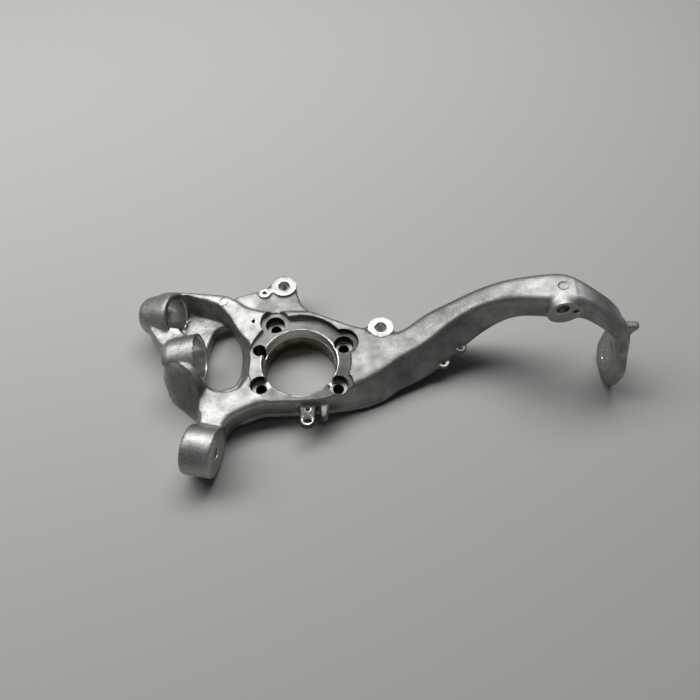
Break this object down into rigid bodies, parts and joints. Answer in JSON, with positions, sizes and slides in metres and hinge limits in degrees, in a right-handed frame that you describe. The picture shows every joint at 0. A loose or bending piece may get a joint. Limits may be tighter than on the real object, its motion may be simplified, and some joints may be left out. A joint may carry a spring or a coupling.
{
  "type": "steering knuckle",
  "caption": "Cast aluminium steering knuckle: flat hub body with a bored hub, caliper ears, lower ball joint cups, tie rod lug and a gooseneck arm to the upper joint.",
  "frame": {"origin": "centre of the hub bore on the machined outboard face", "axes": "+Z along the wheel axis, inboard; +X up the arm to the upper ball joint; +Y to the brake caliper's side. The part lies on its outboard face."},
  "size_m": [0.6064, 0.2758, 0.1265],
  "materials": {
    "aluminium": "shot-blasted casting with bright machined faces and bores"
  },
  "bodies": {
    "root": {"knuckle": "aluminium"}
  },
  "joints": []
}
